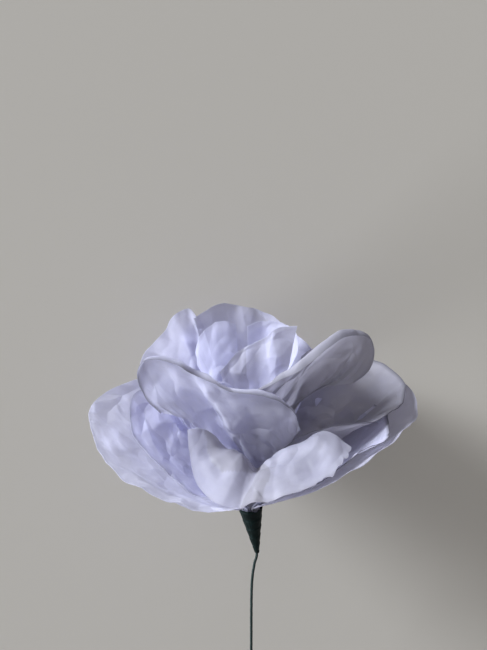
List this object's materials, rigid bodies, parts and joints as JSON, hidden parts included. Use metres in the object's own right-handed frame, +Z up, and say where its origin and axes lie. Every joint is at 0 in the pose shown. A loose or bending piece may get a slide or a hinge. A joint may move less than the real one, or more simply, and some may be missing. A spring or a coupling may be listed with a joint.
{
  "type": "crepe paper rose",
  "caption": "Open rose of folded pale lavender crepe paper petals, gathered into a green tape calyx on a thin covered wire stem, lying on its side.",
  "frame": {"origin": "centre of the bottom of the bounding box, on the surface that the flower lies on", "axes": "+Y from the cut end of the stem towards the bloom, +Z up from the surface, +X to the picture's right"},
  "size_m": [0.094, 0.1768, 0.0716],
  "materials": {
    "crepe_paper": "thin translucent crepe paper, pale lavender white",
    "green_tape": "dark green stretched crepe tape",
    "covered_wire": "dark green paper-covered florist's wire"
  },
  "bodies": {
    "root": {"rolled_centre": "crepe_paper", "petal_heart_front": "crepe_paper", "petal_heart_left": "crepe_paper", "petal_heart_back": "crepe_paper", "petal_crown_back": "crepe_paper", "petal_crown_right": "crepe_paper", "petal_crown_front": "crepe_paper", "petal_cup_left": "crepe_paper", "petal_cup_right": "crepe_paper", "petal_cup_back": "crepe_paper", "petal_cup_front": "crepe_paper", "petal_right": "crepe_paper", "petal_back_left": "crepe_paper", "petal_front": "crepe_paper", "petal_lower_left": "crepe_paper", "petal_lower_right": "crepe_paper", "petal_lower_back": "crepe_paper", "petal_outer_left": "crepe_paper", "petal_outer_right": "crepe_paper", "petal_outer_back": "crepe_paper", "calyx_tape": "green_tape", "stem_wire": "covered_wire"}
  },
  "joints": []
}
